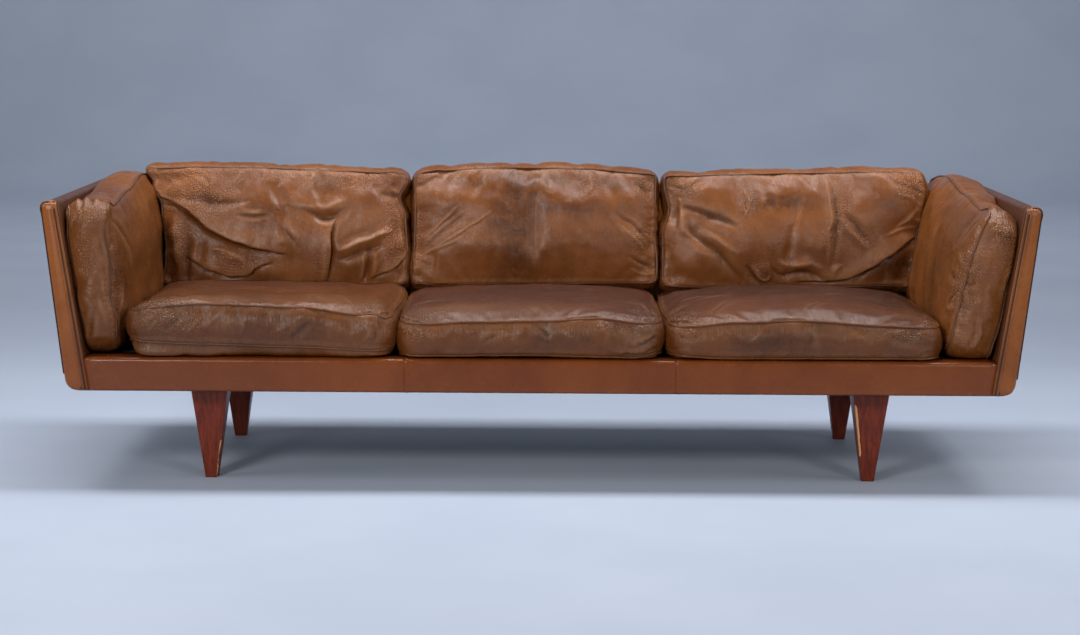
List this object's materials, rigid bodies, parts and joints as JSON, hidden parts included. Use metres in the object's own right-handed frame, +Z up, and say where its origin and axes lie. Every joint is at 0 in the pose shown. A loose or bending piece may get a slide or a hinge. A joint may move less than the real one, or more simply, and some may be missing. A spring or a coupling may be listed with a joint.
{
  "type": "worn leather sofa",
  "caption": "Long low leather sofa with splayed slab arms, loose boxed seat, back and arm cushions and tapered wooden legs; worn, creased leather.",
  "frame": {"origin": "on the floor, under the middle of the sofa's outline", "axes": "+X along the sofa to the right seen from the front, +Y to the back, +Z up"},
  "size_m": [2.1962, 0.76, 0.687],
  "materials": {
    "frame_leather": "tan aniline leather gone semi-gloss, orange on the arms' edges and redder on the front rail",
    "cushion_leather": "brown aniline leather, creased, rubbed and shiny in places, olive on the seats' fronts",
    "leg_wood": "reddish-brown stained hardwood, satin, chipped to pale wood along two edges",
    "beech": "bare sawn beech",
    "wadding": "undyed wadding",
    "insert_ticking": "plain undyed ticking",
    "webbing_rubber": "brown rubber webbing",
    "dark_cloth": "black woven cloth",
    "steel": "plain zinc-plated steel"
  },
  "bodies": {
    "root": {"front_rail": "beech", "rear_rail": "beech", "side_rail_right": "beech", "side_rail_left": "beech", "cross_rail_left": "beech", "cross_rail_right": "beech", "centre_rail": "beech", "corner_block_front_left": "beech", "corner_block_front_right": "beech", "corner_block_rear_left": "beech", "corner_block_rear_right": "beech", "arm_board_right": "beech", "arm_padding_right": "beech", "arm_cover_right": "beech", "arm_board_left": "beech", "arm_padding_left": "beech", "arm_cover_left": "beech", "arm_bolt_front_left": "steel", "arm_bolt_front_right": "steel", "arm_bolt_rear_left": "steel", "arm_bolt_rear_right": "steel", "back_board": "beech", "back_padding": "wadding", "back_cover": "frame_leather", "front_rail_cover": "frame_leather", "leg_front_left": "leg_wood", "leg_bolt_front_left": "steel", "leg_front_right": "leg_wood", "leg_bolt_front_right": "steel", "leg_rear_left": "leg_wood", "leg_bolt_rear_left": "steel", "leg_rear_right": "leg_wood", "leg_bolt_rear_right": "steel", "webbing_strap_1": "webbing_rubber", "webbing_strap_2": "webbing_rubber", "webbing_strap_3": "webbing_rubber", "webbing_strap_4": "webbing_rubber", "webbing_strap_5": "webbing_rubber", "webbing_strap_6": "webbing_rubber", "webbing_strap_7": "webbing_rubber", "webbing_strap_8": "webbing_rubber", "webbing_strap_9": "webbing_rubber", "seat_deck": "dark_cloth", "dust_cover": "dark_cloth", "seat_cushion_left_cover": "cushion_leather", "seat_cushion_left_insert": "insert_ticking", "seat_cushion_middle_cover": "cushion_leather", "seat_cushion_middle_insert": "insert_ticking", "seat_cushion_right_cover": "cushion_leather", "seat_cushion_right_insert": "insert_ticking", "back_cushion_left_cover": "cushion_leather", "back_cushion_left_insert": "insert_ticking", "back_cushion_middle_cover": "cushion_leather", "back_cushion_middle_insert": "insert_ticking", "back_cushion_right_cover": "cushion_leather", "back_cushion_right_insert": "insert_ticking", "arm_cushion_left_cover": "cushion_leather", "arm_cushion_left_insert": "insert_ticking", "arm_cushion_right_cover": "cushion_leather", "arm_cushion_right_insert": "insert_ticking"}
  },
  "joints": []
}
